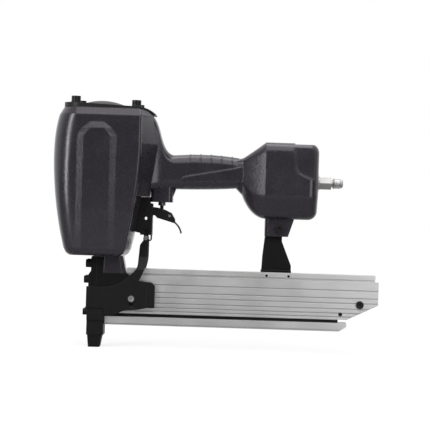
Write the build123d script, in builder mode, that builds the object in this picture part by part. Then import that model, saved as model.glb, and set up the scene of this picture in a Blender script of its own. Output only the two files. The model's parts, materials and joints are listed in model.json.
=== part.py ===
from math import pi, sin, sqrt
from build123d import *
import os

# Pneumatic heavy-wire stapler, in millimetres.
# X runs to the rear, Y away from the near side, Z up.
# The origin is the middle of the contact shoe's lower face.

# Clearances
fit = 0.05
slide_fit = 0.3
blade_fit = 0.12

# Head casting
drive_x = 2.0
head_bottom = 100.5
head_top = 259.5
head_front = -48.4
head_rear = 46.8
head_half = 42.0
head_corner = 24.0
corner_draw = 8.0
crease_r = 3.0
belly_drop = 45.5
front_draw = 15.3
rear_draw = 16.0
side_draw = 6.0
brow_draw = 5.0
rear_crown = 4.3
rear_crown_half = 11.0
chin_height = 7.5
chin_draw = 4.0
shoulder_height = 7.5
shoulder_draw = 4.5
pad_mid = -0.4
pad_half = 22.5
pad_face_half = 14.0
pad_rise = 1.6
pad_seat = 0.2
pad_root = 5.0
pad_drop = 15.1
pad_crown = 7.2
pad_shoulder = 15.4
pad_arch_half = 17.5
pad_crest_half = 7.0
web_reach = 10.7
web_half = 19.4
web_low = ((-9.0, 9.7), (15.0, 12.7))
web_high = ((29.5, 17.2), (17.0, 14.7), (0.0, 10.7))
web_seat = 1.2

# Handle and air reservoir
root_reach = 3.2
root_high = ((3.2, 9.5), (10.7, 5.5), (15.7, 13.2), (19.7, 25.5))
root_low = ((23.2, 11.5), (28.2, 3.5))
root_flare = 7.0
root_edge_draw = 5.0
grip_half = 17.0
grip_height = 37.2
grip_hump = 2.2
grip_fall = 1.0
grip_bottom = 175.0
grip_rise = 3.0
grip_edge = 11.0
grip_reach = 34.7
grip_length = 71.5
grip_panel_rise = 1.2
grip_panel_bevel = 1.6
grip_panel = ((8.5, 11.5), (11.5, 15.0), (64.5, 25.2), (74.5, 28.0), (77.5, 24.0), (77.5, 15.0),
              (73.5, 9.7), (11.5, 7.5))
grip_rib_in = 17.3
grip_rib_pitch = 11.4
grip_rib_drop = 9.2
grip_rib_count = 5
grip_rib_rise = 0.5
grip_rib_width = 1.3
collar_gap = 4.0
flare_length = 24.3
reservoir_length = 57.6
reservoir_half = 33.0
reservoir_rise = 16.4
reservoir_drop = 29.2
reservoir_chin_height = 23.2
reservoir_chin_half = 20.0
reservoir_edge = 11.0
reservoir_rear_edge = 10.0
recess_depth = 1.6
recess_bevel = 1.4
recess_run = 3.0
recess_outline = ((31.1, 2.3), (26.5, 12.2), (26.0, 28.0), (22.2, 33.7), (5.5, 41.1))
chamber_r = 25.0
chamber_in = 10.7
air_height = 40.8
air_passage_r = 9.0

# Cylinder and drive
head_wall = 8.0
sleeve_wall = 3.0
sleeve_floor = 21.5
sleeve_drop = 15.5
sleeve_seat = 14.0
air_space = 6.0
bumper_height = 24.0
bumper_hole_r = 9.0
bumper_waist = 3.0
piston_height = 18.0
piston_gap = 2.0
bumper_gap = 1.0
blade_end_gap = 2.0
ring_height = 4.0
ring_depth = 3.0
blade_half = 5.5
blade_thick = 1.6
driver_pin_r = 2.0
head_valve_height = 7.5
head_valve_bore_r = 7.0
head_valve_neck_in = 1.5
head_valve_groove = 2.5

# Top cap
gasket_thick = 0.8
cap_thick = 5.3
cap_fall = 3.8
dome_r = 30.0
dome_rise = 7.6
dome_step = 1.7
dome_pocket_r = 22.0
dome_pocket_depth = 2.5
lip_root_in = 2.8
lip_length = 17.0
lip_drop = 5.6
lip_thick = 1.6
lip_half = 15.0
lip_gap = 0.6
lip_middle_out = 9.8
lip_middle_drop = 2.5
exhaust_half = 12.0
exhaust_height = 0.9
cap_screw_r = 3.0
cap_screw_head_r = 5.0
cap_screw_head = 6.0
cap_screw_length = 24.0
cap_screw_front_in = 23.4
cap_screw_rear_in = 6.6
cap_screw_side_in = 12.0
cap_seat_depth = 0.35
washer_thick = 1.3
washer_r = 5.6

# Trigger valve
valve_in = 12.0
boss_reach = 10.7
boss_length = 24.1
boss_half = 13.0
boss_corner = 5.0
boss_drop = 14.6
bushing_r = 8.0
bushing_nose_r = 4.0
bushing_nose = 3.6
bushing_rise = 7.0
stem_r = 2.0
stem_out = 7.8
stem_collar_r = 4.2

# Safety guide and trigger
guide_reach = 13.0
guide_half = 9.0
guide_wall = 2.0
guide_gap = 0.35
guide_toe = 3.1
guide_lift = 26.7
guide_rise = 5.2
guide_screw_low = 6.3
guide_screw_high = 9.6
guide_screw_r = 2.0
guide_screw_head_r = 3.5
guide_screw_head = 1.3
guide_screw_hold = 5.0
guide_step_reach = 0.2
sight_drop = 9.7
sight_r = 1.8
trigger_reach = 5.7
trigger_drop = 8.5
trigger_pin_r = 2.0
trigger_eye_r = 3.6
trigger_sheet = 1.5
trigger_cheek = ((0.0, 3.4), (7.0, 3.1), (13.9, 2.3), (20.9, 0.3), (28.0, -3.2), (31.7, -9.4), (32.3, -13.2),
                 (11.7, -8.0), (7.1, -3.2), (0.0, -3.4))
lever_reach = 26.0
lever_drop = 6.3
lever_pin_r = 1.5
lever_half = 4.0
lever_thick = 2.4
lever_tip_in = 1.9
lever_tip_rise = 1.6
slider_thick = 1.5
slider_gap = 1.6
slider_eye = 3.0
slider_rise = 10.0

# Nose
nose_front = -7.5
flange_front = -4.9
nose_split = 1.1
nose_back = 8.0
nose_gap = 1.5
brow_drop = 15.4
brow_height = 4.1
neck_gap = 1.5
neck_rear = 33.3
neck_rear_top = 28.0
neck_bevel = 4.0
nose_waist = 52.0
nose_waist_half = 9.0
nose_tip_front = -1.2
nose_tip_back = 4.2
nose_tip_half = 7.5
nose_tip_top = 21.0
nose_tip_bottom = 8.0
cheek_rear = 46.0
cheek_bottom = 46.0
upper_screw_drop = 7.7
upper_screw_y = 8.5
upper_screw_r = 3.0
upper_screw_head_r = 4.5
upper_screw_head = 6.1
upper_screw_length = 25.0
middle_screw_drop = 25.2
middle_screw_y = 9.0
middle_screw_r = 2.5
middle_screw_head_r = 4.05
middle_screw_head = 5.1

# Contact shoe and yoke
contact_lift = 7.0
shoe_front = -8.4
shoe_back = 10.1
shoe_half = 12.0
shoe_shoulder = 30.0
shoe_top = 44.6
shoe_step = 13.5
shoe_tip_front = -6.3
shoe_tip_back = 6.0
shoe_tip_half = 9.5
shoe_wall_gap = 2.0
shoe_screw_z = 38.5
shoe_screw_r = 2.0
shoe_screw_head_r = 3.6
shoe_screw_head = 4.5
shoe_screw_length = 2.8
yoke_sheet = 2.0
yoke_half = 16.3
yoke_front = -9.3
yoke_front_sheet = 1.5
yoke_front_bottom = 43.5
yoke_top = 66.4
yoke_rear = 65.3
yoke_plate_top = 72.8
yoke_strip = 8.5
yoke_strip_depth = 0.7
arm_front_out = 6.1
arm_rear_out = 2.9
arm_neck_drop = 7.7
arm_eye_r = 2.6
arm_half = 11.3
arm_bend_low = 86.0
arm_bend_high = 100.0
rivet_in = 6.4
rivet_drop = 3.4
rivet_r = 1.8
rivet_head = 1.2
rivet_head_r = 2.4
shoulder_x = 40.0
shoulder_z = 54.2
shoulder_r = 2.2
shoulder_head_r = 3.4
shoulder_head = 2.3
shoulder_dimple_r = 1.7

# Magazine
magazine_front = 11.0
magazine_rear = 309.4
magazine_half = 10.0
magazine_top = 80.0
magazine_bottom = 38.0
magazine_inner = 5.9
magazine_roof = 4.5
magazine_end_rise = 16.5
magazine_end_run = 34.0
groove_depth = 0.8
groove_rises = (32.0, 23.5, 18.0, 11.8, 7.0, 3.0)
groove_width = 1.3
top_rail_front_in = 23.0
top_rail_rear_in = 3.8
top_rail_half = 9.5
top_rail_neck = 5.5
top_rail_neck_height = 2.0
top_rail_height = 7.4
rail_rear_in = 34.1
rail_half = 10.0
rail_gap = 3.7
rail_height = 9.3
rail_step = 2.0
rail_step_in = 2.0
rail_end_run = 8.2
rail_end_rise = 5.4
core_half = 3.8
core_room = 3.5
core_front = 3.5
core_seat = 1.5
core_end_in = 9.0
pusher_half = 5.5
pusher_length = 30.0
roll_r = 6.5
roll_in = 19.0
roll_rise = 18.0
roll_pin_r = 1.5
stop_screw_in = 20.2
stop_screw_rise = 16.8
stop_screw_r = 2.5
stop_screw_head_r = 4.2
stop_screw_head = 2.6
catch_in = 41.1
catch_rise = 5.8
catch_r = 2.1

# Rear bracket
lug_half = 11.0
lug_in = 2.1
lug_length = 32.6
lug_draft = 7.5
lug_drop = 19.1
lug_bevel = 3.0
bolt_in = 15.4
bolt_rise = 8.7
bolt_r = 2.5
bolt_head_r = 4.25
bolt_head = 4.0
nut_flat = 4.0
bracket_half = 4.0
bracket_foot_half = 9.0
bracket_foot_thick = 2.5
bracket_lead = 3.0
bracket_length = 32.8
bracket_waist_out = 3.7
bracket_waist_drop = 5.3
bracket_pin_in = (6.2, 30.2)
bracket_pin_r = 1.4
bracket_pin_drop = 3.8

# Air plug
plug_flats = 13.2
plug_hex = 12.5
plug_collar_r = 7.2
plug_collar = 1.6
plug_groove = 1.7
plug_bead = 2.3
plug_land = 6.0
plug_tip = 3.1
plug_r = 5.3
plug_bore_r = 2.6
plug_tail_r = 6.5
end_cap_in = 10.5
end_cap_thick = 8.0
end_cap_boss_r = 12.0
end_cap_boss = 1.5
snap_thick = 1.4


def side_sheet(half, points, mode=Mode.ADD):
    """A plate across the tool: side outline points (X, Z), from -half to +half in Y."""
    with BuildSketch(Plane.XZ) as outline:
        with BuildLine():
            Polyline(*points, close=True)
        make_face()
    extrude(outline.sketch, amount=half, both=True, mode=mode)


def side_pair(inner, outer, points, mode=Mode.ADD):
    """Two mirrored plates between inner and outer distance from the middle plane."""
    for plane_y, way in ((-inner, 1), (inner, -1)):
        with BuildSketch(Plane.XZ.offset(-plane_y)) as outline:
            with BuildLine():
                Polyline(*points, close=True)
            make_face()
        extrude(outline.sketch, amount=way * (outer - inner), mode=mode)


def span(low, high, mode=Mode.ADD):
    """A block between two opposite corners."""
    middle = tuple((a + b) / 2 for a, b in zip(low, high))
    with Locations(middle):
        Box(high[0] - low[0], high[1] - low[1], high[2] - low[2], mode=mode)


def rod_x(y, z, r, x_low, x_high, mode=Mode.ADD):
    """A round bar along X."""
    with BuildSketch(Plane.YZ.offset(x_low)) as end:
        with Locations((y, z)):
            Circle(r)
    extrude(end.sketch, amount=x_high - x_low, mode=mode)


def rod_y(x, z, r, y_low, y_high, mode=Mode.ADD):
    """A round bar along Y."""
    with BuildSketch(Plane.XZ.offset(-y_high)) as end:
        with Locations((x, z)):
            Circle(r)
    extrude(end.sketch, amount=y_high - y_low, mode=mode)


def rod_z(x, y, r, z_low, z_high, mode=Mode.ADD):
    """A round bar along Z."""
    with BuildSketch(Plane.XY.offset(z_low)) as end:
        with Locations((x, y)):
            Circle(r)
    extrude(end.sketch, amount=z_high - z_low, mode=mode)


def below_belly(z):
    """Share of the way from the head's widest level down to its bottom."""
    return max(belly_z - z, 0) / (belly_z - head_bottom)


def head_rear_at(z):
    """Where the head's side wall ends at the rear, at one height."""
    return head_rear - rear_draw * below_belly(z) ** 1.6


def head_half_at(z):
    """Half width of the head at one height."""
    return head_half - side_draw * below_belly(z) ** 2


def head_level(z, inset=0):
    """One level of the head: round front corners, creased rear corners, crowned rear wall."""
    above_belly = max(z - belly_z, 0) / (band_z - belly_z)
    front = head_front + front_draw * below_belly(z) ** 2 + brow_draw * above_belly**2 + inset
    rear = head_rear_at(z) - inset
    half = head_half_at(z) - inset
    with BuildSketch(Plane.XY.offset(z)) as level:
        with BuildLine():
            Polyline(
                (front, -half),
                (rear, -half),
                (rear + rear_crown, -rear_crown_half),
                (rear + rear_crown, rear_crown_half),
                (rear, half),
                (front, half),
                close=True,
            )
        make_face()
        fillet(level.vertices().group_by(Axis.X)[1], crease_r)
        fillet(level.vertices().group_by(Axis.X)[0], head_corner - corner_draw * below_belly(z) - inset)
    return level.sketch


def top_outline(plane, inset, tail_x, tail_half):
    """The head's top in plan, drawn in by inset: round front, creased sides, tail to the rear."""
    front = head_front + brow_draw + inset
    rear = head_rear - inset / 2
    half = head_half - inset
    with BuildSketch(plane) as outline:
        with BuildLine():
            Polyline(
                (front, -half),
                (rear, -half),
                (tail_x, -tail_half),
                (tail_x, tail_half),
                (rear, half),
                (front, half),
                close=True,
            )
        make_face()
        fillet(outline.vertices().group_by(Axis.X)[1], crease_r)
        fillet(outline.vertices().group_by(Axis.X)[0], head_corner - inset)
    return outline.sketch


def web_level(z, tail_x):
    """One level of the web that runs from the head's rear corners in to the handle."""
    rear = head_rear_at(z) - web_seat
    half = head_half_at(z) - web_seat
    with BuildSketch(Plane.XY.offset(z)) as level:
        with BuildLine():
            Polyline(
                (drive_x, -half),
                (rear, -half),
                (tail_x, -web_half),
                (tail_x, web_half),
                (rear, half),
                (drive_x, half),
                close=True,
            )
        make_face()
    return level.sketch


def pad_level(side, z, outer, face, rise, inset=0):
    """One level of the raised pad on the head's side: a face with a bevel each side of it."""
    base = side * (head_half_at(z) - inset - pad_seat)
    crest = side * (head_half_at(z) - inset + rise)
    root = base - side * pad_root
    with BuildSketch(Plane.XY.offset(z)) as level:
        with BuildLine():
            Polyline(
                (pad_mid - outer, root),
                (pad_mid - outer, base),
                (pad_mid - face, crest),
                (pad_mid + face, crest),
                (pad_mid + outer, base),
                (pad_mid + outer, root),
                close=True,
            )
        make_face()
    return level.sketch


def grip_section(x, z_low, z_high, half, corner):
    """One rounded upright section of the handle."""
    with BuildSketch(Plane.YZ.offset(x)) as section:
        with Locations((0, (z_low + z_high) / 2)):
            RectangleRounded(2 * half, z_high - z_low, corner)
    return section.sketch


def root_section(x, z_high):
    """One section of the handle's root, which widens and deepens towards the head."""
    share = (grip_front - x) / (grip_front - root_front)
    return grip_section(x, grip_bottom - grip_rise * share**2, z_high,
                        grip_half + root_flare * share**3, grip_edge - root_edge_draw * share)


def grip_at(x, swell=0):
    """One section of the grip: its back humps, its belly rises to the rear."""
    share = (x - grip_front) / (grip_end - grip_front)
    z_low = grip_bottom + grip_rise * share**2
    z_high = grip_top - grip_fall * share + grip_hump * sin(pi * share)
    return grip_section(x, z_low, z_high + swell, grip_half + swell, grip_edge)


def panel_level(side, out, inset):
    """The grip's raised panel at one distance out from the grip's side, drawn in by inset."""
    with BuildSketch(Plane.XZ.offset(-side * (grip_half + out))) as level:
        with BuildLine():
            Polyline(*[(grip_front + along, grip_bottom + up) for along, up in grip_panel], close=True)
        make_face()
        offset(amount=-inset, kind=Kind.INTERSECTION, mode=Mode.REPLACE)
    return level.sketch


def reservoir_section(x, half, chin_half, z_low, z_chin, z_high, corner):
    """One upright section of the reservoir, drawn in below the chin line."""
    with BuildSketch(Plane.YZ.offset(x)) as section:
        with BuildLine():
            Polyline(
                (-chin_half, z_low),
                (chin_half, z_low),
                (half, z_chin),
                (half, z_high),
                (-half, z_high),
                (-half, z_chin),
                close=True,
            )
        make_face()
        fillet(section.vertices(), corner)
    return section.sketch


def recess_level(side, depth):
    """The recessed corner's outline at one depth under the reservoir's side: its walls slope."""
    shift = recess_bevel * depth / recess_depth
    edge = [(reservoir_rear - back + shift, reservoir_top - down + shift) for back, down in recess_outline]
    with BuildSketch(Plane.XZ.offset(-side * (reservoir_half - depth))) as level:
        with BuildLine():
            Polyline(
                (edge[0][0], reservoir_top + recess_run),
                *edge,
                (reservoir_rear + recess_run, edge[-1][1]),
                (reservoir_rear + recess_run, reservoir_top + recess_run),
                close=True,
            )
        make_face()
    return level.sketch


def bevelled_level(z, front, rear, half, front_bevel, rear_bevel):
    """A rectangle in plan with its front and rear corners cut off."""
    with BuildSketch(Plane.XY.offset(z)) as level:
        with BuildLine():
            Polyline(
                (front, front_bevel - half),
                (front + front_bevel, -half),
                (rear - rear_bevel, -half),
                (rear, rear_bevel - half),
                (rear, half - rear_bevel),
                (rear - rear_bevel, half),
                (front + front_bevel, half),
                (front, half - front_bevel),
                close=True,
            )
        make_face()
    return level.sketch


def guide_face(z):
    """Where the guide's sloping back lies at one height."""
    return guide_low_x + guide_slope * (z - guide_foot)


def guide_plane(z):
    """The plane of the guide's back, centred at one height, its normal to the rear."""
    return Plane((guide_face(z), 0, z), x_dir=(0, 1, 0), z_dir=(1, 0, -guide_slope))


def drill(plane, r, depth):
    """A round hole through a plane, as deep on each side of it."""
    with BuildSketch(plane) as mouth:
        Circle(r)
    extrude(mouth.sketch, amount=depth, both=True, mode=Mode.SUBTRACT)


# Places on the head and its cap, worked out from the sizes above
belly_z = head_top - belly_drop
band_z = head_top - shoulder_height
chin_top = head_bottom + chin_height
head_levels = [chin_top + share * (belly_z - chin_top) for share in (0, 0.16, 0.4, 0.7, 1)]
pad_top = head_top - pad_drop
pad_face_top = pad_top - pad_crown
pad_arch = pad_top - pad_shoulder
cap_bottom = head_top + gasket_thick
cap_inset = shoulder_draw + 0.5
cap_front_top = cap_bottom + cap_thick
dome_base = cap_bottom + dome_step
dome_top = dome_base + dome_rise
dome_pocket_top = cap_bottom + dome_pocket_depth
lip_root = head_rear - lip_root_in
lip_end = lip_root + lip_length
lip_middle_x = lip_root + lip_middle_out
lip_middle_z = cap_bottom - lip_middle_drop
cap_screw_y = head_half - cap_screw_side_in
cap_screw_spots = [
    (x, y)
    for x in (head_front + cap_screw_front_in, head_rear - cap_screw_rear_in)
    for y in (-cap_screw_y, cap_screw_y)
]

# Places along the handle and the reservoir
grip_top = grip_bottom + grip_height
grip_front = head_rear + grip_reach
grip_end = grip_front + grip_length
web_rear = head_rear + web_reach
web_line = [(grip_bottom + rise, head_rear + reach) for rise, reach in web_low]
web_line += [(band_z - drop, head_rear + reach) for drop, reach in web_high]
root_front = head_rear + root_reach
root_line = [(head_rear + reach, head_top - drop) for reach, drop in root_high]
root_line += [(head_rear + reach, grip_top + rise) for reach, rise in root_low]
passage_z = (grip_top + grip_bottom) / 2 + 2
collar_x = grip_end + collar_gap
reservoir_front = collar_x + flare_length
reservoir_rear = reservoir_front + reservoir_length
reservoir_top = grip_top + reservoir_rise
reservoir_bottom = grip_bottom - reservoir_drop
reservoir_chin = reservoir_bottom + reservoir_chin_height
chamber_front = reservoir_front + chamber_in
air_z = reservoir_bottom + air_height
end_cap_front = reservoir_rear - end_cap_in
lug_front = reservoir_front + lug_in
lug_rear = lug_front + lug_length
lug_bottom = reservoir_bottom - lug_drop
bolt_x = lug_front + bolt_in
bolt_z = lug_bottom + bolt_rise
bracket_front = lug_front - bracket_lead
bracket_rear = bracket_front + bracket_length
bracket_waist_x = bolt_x + bracket_waist_out
bracket_waist_z = lug_bottom - bracket_waist_drop

# Places of the trigger valve, guide and trigger
boss_front = head_rear + boss_reach
boss_rear = boss_front + boss_length
boss_bottom = grip_bottom - boss_drop
valve_x = boss_front + valve_in
bushing_nose_bottom = boss_bottom - bushing_nose
bushing_top = grip_bottom + bushing_rise
stem_bottom = boss_bottom - stem_out
guide_rear = head_rear + guide_reach
guide_foot = head_bottom + guide_lift
guide_bottom = guide_foot - guide_toe
guide_top = boss_bottom + guide_rise
guide_screw_z = (guide_foot + guide_screw_low, guide_top - guide_screw_high)
guide_step_x = head_rear + guide_step_reach
guide_low_x = head_rear_at(guide_foot) + rear_crown + guide_gap
guide_high_x = head_rear_at(guide_top) + rear_crown + guide_gap
guide_slope = (guide_high_x - guide_low_x) / (guide_top - guide_foot)
trigger_x = head_rear + trigger_reach
trigger_z = boss_bottom - trigger_drop
sight_x = trigger_x
sight_z = trigger_z - sight_drop
lever_x = trigger_x + lever_reach
lever_z = trigger_z - lever_drop
lever_tip_x = guide_rear - lever_tip_in
lever_tip_z = lever_z + lever_tip_rise

# Places of the magazine, nose and yoke
magazine_end = magazine_bottom + magazine_end_rise
groove_heights = [magazine_bottom + rise for rise in groove_rises]
top_rail_front = magazine_front + top_rail_front_in
top_rail_rear = magazine_rear - top_rail_rear_in
rail_front = magazine_front
rail_rear = magazine_rear - rail_rear_in
rail_top = magazine_bottom - rail_gap
rail_bottom = rail_top - rail_height
core_top = magazine_top - magazine_roof - core_room
roll_x = magazine_front + roll_in
roll_z = magazine_bottom + roll_rise
stop_screw_x = magazine_rear - stop_screw_in
stop_screw_z = magazine_bottom + stop_screw_rise
catch_x = magazine_rear - catch_in
catch_z = magazine_bottom + catch_rise
nose_half = yoke_half - yoke_sheet - slide_fit
nose_top = head_bottom - nose_gap
brow_top = nose_top - brow_drop
brow_bottom = brow_top - brow_height
neck_bottom = magazine_top + neck_gap
upper_screw_z = nose_top - upper_screw_drop
middle_screw_z = nose_top - middle_screw_drop
upper_screw_spots = [-upper_screw_y, upper_screw_y]
middle_screw_spots = [-middle_screw_y, middle_screw_y]
rivet_x = guide_rear - rivet_in
rivet_z = guide_bottom - rivet_drop
arm_front = rivet_x - arm_front_out
arm_rear = rivet_x + arm_rear_out
arm_neck_z = rivet_z - arm_neck_drop

# The drive's places and stroke
chamber_wall_r = head_half - head_wall
sleeve_r = chamber_wall_r - air_space
sleeve_bore_r = sleeve_r - sleeve_wall
sleeve_bottom = head_bottom + sleeve_floor
sleeve_top = head_top - sleeve_drop
piston_top = sleeve_top - piston_gap
piston_bottom = piston_top - piston_height
blade_top = piston_bottom + piston_height / 2
drive_stroke = piston_bottom - (sleeve_bottom + bumper_height) - bumper_gap
blade_tip = drive_stroke + blade_end_gap

# Ribs over the grip's back: bands round the grip, kept to its upper part
with BuildPart() as grip_ribs:
    for number in range(grip_rib_count):
        extrude(grip_at(grip_front + grip_rib_in + number * grip_rib_pitch, grip_rib_rise),
                amount=grip_rib_width)
    split(bisect_by=Plane.XY.offset(grip_top - grip_rib_drop), keep=Keep.TOP)

# Housing casting: head, handle, reservoir, valve boss, neck and lug
with BuildPart() as housing:
    loft([head_level(z) for z in head_levels + [(belly_z + band_z) / 2, band_z]])
    loft([
        head_level(chin_top),
        head_level(head_bottom + chin_height / 3, chin_draw / 3),
        head_level(head_bottom, chin_draw),
    ], ruled=True)
    # Shoulder under the cap, with the tail that runs back to the handle
    loft([
        top_outline(Plane.XY.offset(band_z), 0, web_rear, web_half),
        top_outline(Plane.XY.offset(head_top), shoulder_draw, web_rear, web_half - shoulder_draw / 2),
    ], ruled=True)
    loft([web_level(z, tail_x) for z, tail_x in web_line], ruled=True)
    # Raised pad down each side of the head, with an arched top
    for side in (-1, 1):
        loft([
            pad_level(side, head_bottom + 0.3, pad_half, pad_face_half, pad_rise, chin_draw),
            pad_level(side, head_bottom + chin_height / 3, pad_half, pad_face_half, pad_rise, chin_draw / 3),
            *[pad_level(side, z, pad_half, pad_face_half, pad_rise) for z in head_levels],
            pad_level(side, pad_arch, pad_half, pad_face_half, pad_rise),
            pad_level(side, pad_face_top, pad_arch_half, pad_crest_half, pad_rise),
            pad_level(side, pad_top, pad_crest_half + 1, pad_crest_half, 0),
        ], ruled=True)
    # Handle: root under the web, then the grip
    loft([root_section(x, z_high) for x, z_high in root_line] + [grip_at(grip_front)])
    grip_stations = [grip_front + share * (grip_end - grip_front) for share in (0, 0.3, 0.6, 0.8, 1)]
    loft([grip_at(x) for x in grip_stations], ruled=True)
    for side in (-1, 1):
        loft([panel_level(side, -grip_panel_rise, 0), panel_level(side, grip_panel_rise, grip_panel_bevel)],
             ruled=True)
    # Flare from the handle to the reservoir, started inside the handle
    collar = reservoir_section(collar_x, grip_half + 0.8, grip_half - 7, grip_bottom - 4, grip_bottom + 9,
                               grip_top - 1.2, 6)
    flare_middle = reservoir_section((collar_x + reservoir_front) / 2, grip_half + 9, grip_half - 2,
                                     grip_bottom - 23, grip_bottom - 2.5, grip_top + 7.2, 8)
    reservoir_face = reservoir_section(reservoir_front, reservoir_half, reservoir_chin_half,
                                       reservoir_bottom, reservoir_chin, reservoir_top, reservoir_edge)
    loft([
        reservoir_section(collar_x - 9, grip_half - 2, grip_half - 9, grip_bottom + 5, grip_bottom + 15,
                          grip_top - 3, 6),
        collar,
    ], ruled=True)
    loft([collar, flare_middle, reservoir_face])
    extrude(reservoir_face, amount=reservoir_rear - reservoir_front)
    fillet(housing.faces().sort_by(Axis.X)[-1].edges(), reservoir_rear_edge)
    # Recessed upper rear corner of the reservoir
    for side in (-1, 1):
        loft([recess_level(side, recess_depth), recess_level(side, -recess_depth)],
             ruled=True, mode=Mode.SUBTRACT)
    span((reservoir_rear - recess_outline[1][0], -reservoir_half, reservoir_top - recess_depth),
         (reservoir_rear + recess_run, reservoir_half, reservoir_top + 2), Mode.SUBTRACT)
    # Valve boss with its gusset, neck and lug
    with BuildSketch(Plane.XY.offset(boss_bottom)):
        with Locations(((boss_front + boss_rear) / 2, 0)):
            RectangleRounded(boss_rear - boss_front, 2 * boss_half, boss_corner)
    extrude(amount=bushing_top - boss_bottom)
    side_sheet(boss_half - boss_corner, [
        (boss_rear - 3, boss_bottom + 4),
        (boss_rear, boss_bottom + 6),
        (boss_rear + 3.8, grip_bottom + 2),
        (boss_rear - 3, grip_bottom + 2),
    ])
    # Flat seat for the guide on the sloping rear
    side_sheet(guide_half, [
        (guide_face(guide_foot) - 4, guide_foot),
        (guide_face(guide_foot), guide_foot),
        (guide_face(guide_top), guide_top),
        (guide_face(guide_top) - 4, guide_top),
    ])
    neck_root = head_bottom + 6
    loft([
        bevelled_level(neck_bottom, nose_back, neck_rear, nose_half, 1, neck_bevel),
        bevelled_level(neck_root, nose_back, neck_rear_top, nose_half, 1, neck_bevel),
    ], ruled=True)
    loft([
        bevelled_level(lug_bottom, lug_front, lug_rear - lug_draft, lug_half, lug_bevel, 1),
        bevelled_level(reservoir_bottom + 4, lug_front, lug_rear, lug_half, lug_bevel, 1),
    ], ruled=True)
    # Top behind the cap falls away under the exhaust lip
    with BuildSketch(Plane.XZ) as tail_cut:
        with BuildLine():
            Polyline((lip_end + 4, head_top - lip_drop), (lip_end + 4, head_top + 1),
                     (lip_root - 1, head_top + 1), (lip_root - 1, head_top))
            ThreePointArc((lip_root - 1, head_top), (lip_middle_x, lip_middle_z - lip_gap),
                          (lip_end - 1, head_top - lip_drop))
            Line((lip_end - 1, head_top - lip_drop), (lip_end + 4, head_top - lip_drop))
        make_face()
    extrude(tail_cut.sketch, amount=head_half, both=True, mode=Mode.SUBTRACT)
    # Ribs over the grip's back
    add(grip_ribs.part)
    # Cylinder chamber, sleeve seat and blade slot
    rod_z(drive_x, 0, chamber_wall_r, sleeve_bottom + sleeve_seat, head_top + 1, Mode.SUBTRACT)
    rod_z(drive_x, 0, sleeve_r + fit, sleeve_bottom, sleeve_bottom + sleeve_seat + 1, Mode.SUBTRACT)
    span((drive_x - blade_thick, -blade_half - 0.7, head_bottom - 2),
         (drive_x + blade_thick, blade_half + 0.7, sleeve_bottom + 1), Mode.SUBTRACT)
    # Air passage, reservoir chamber and valve bore
    rod_x(0, passage_z, air_passage_r, drive_x, chamber_front + 1, Mode.SUBTRACT)
    rod_x(0, air_z, chamber_r, chamber_front, reservoir_rear + 1, Mode.SUBTRACT)
    rod_z(valve_x, 0, bushing_r + fit, boss_bottom - 1, bushing_top, Mode.SUBTRACT)
    rod_z(valve_x, 0, bushing_nose_r, bushing_top - 1, passage_z, Mode.SUBTRACT)
    # Bracket slot and fastener holes
    span((lug_front - 1, -bracket_half - fit, lug_bottom - 1),
         (lug_rear + 1, bracket_half + fit, reservoir_bottom), Mode.SUBTRACT)
    rod_y(bolt_x, bolt_z, bolt_r + fit, -lug_half - 1, lug_half + 1, Mode.SUBTRACT)
    for x, y in cap_screw_spots:
        rod_z(x, y, cap_screw_r + fit, head_top - cap_screw_length, head_top + 1, Mode.SUBTRACT)
    for y in upper_screw_spots:
        rod_x(y, upper_screw_z, upper_screw_r + fit, nose_back - 1, flange_front + upper_screw_length + 0.5,
              Mode.SUBTRACT)
    for z in guide_screw_z:
        drill(guide_plane(z), guide_screw_r + fit, guide_wall + guide_screw_hold + 1)

# Cylinder sleeve
with BuildPart() as cylinder_sleeve:
    rod_z(drive_x, 0, sleeve_r, sleeve_bottom, sleeve_top)
    rod_z(drive_x, 0, sleeve_bore_r, sleeve_bottom - 1, sleeve_top + 1, Mode.SUBTRACT)
    # Return air holes above the bumper
    with Locations((drive_x, 0, sleeve_bottom + bumper_height + 6)):
        with PolarLocations(sleeve_bore_r, 8):
            Cylinder(2, 4 * sleeve_wall, rotation=(0, 90, 0), mode=Mode.SUBTRACT)

# Bumper: a ring with a groove round its middle
with BuildPart() as bumper:
    with BuildSketch(Plane.XZ):
        bumper_r = drive_x + sleeve_bore_r - fit
        bumper_middle = sleeve_bottom + bumper_height / 2
        bumper_top = sleeve_bottom + bumper_height
        with BuildLine():
            Polyline(
                (drive_x + bumper_hole_r, sleeve_bottom),
                (bumper_r, sleeve_bottom),
                (bumper_r, bumper_middle - bumper_waist),
                (bumper_r - bumper_waist, bumper_middle),
                (bumper_r, bumper_middle + bumper_waist),
                (bumper_r, bumper_top - bumper_waist),
                (bumper_r - bumper_waist, bumper_top),
                (drive_x + bumper_hole_r, bumper_top),
                close=True,
            )
        make_face()
    revolve(axis=Axis((drive_x, 0, 0), (0, 0, 1)))

# Piston with its ring groove, blade slot and pin bore
ring_bottom = piston_top - 4 - ring_height
pin_z = piston_bottom + 4.5
with BuildPart() as piston:
    rod_z(drive_x, 0, sleeve_bore_r - fit, piston_bottom, piston_top)
    chamfer(piston.edges().filter_by(GeomType.CIRCLE), 1)
    rod_z(drive_x, 0, sleeve_bore_r + 1, ring_bottom, ring_bottom + ring_height, Mode.SUBTRACT)
    rod_z(drive_x, 0, sleeve_bore_r - ring_depth, ring_bottom, ring_bottom + ring_height)
    span((drive_x - blade_thick / 2 - fit, -blade_half - fit, piston_bottom - 1),
         (drive_x + blade_thick / 2 + fit, blade_half + fit, blade_top + fit), Mode.SUBTRACT)
    rod_x(0, pin_z, driver_pin_r + fit, drive_x - 11, drive_x + 11, Mode.SUBTRACT)

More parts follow.
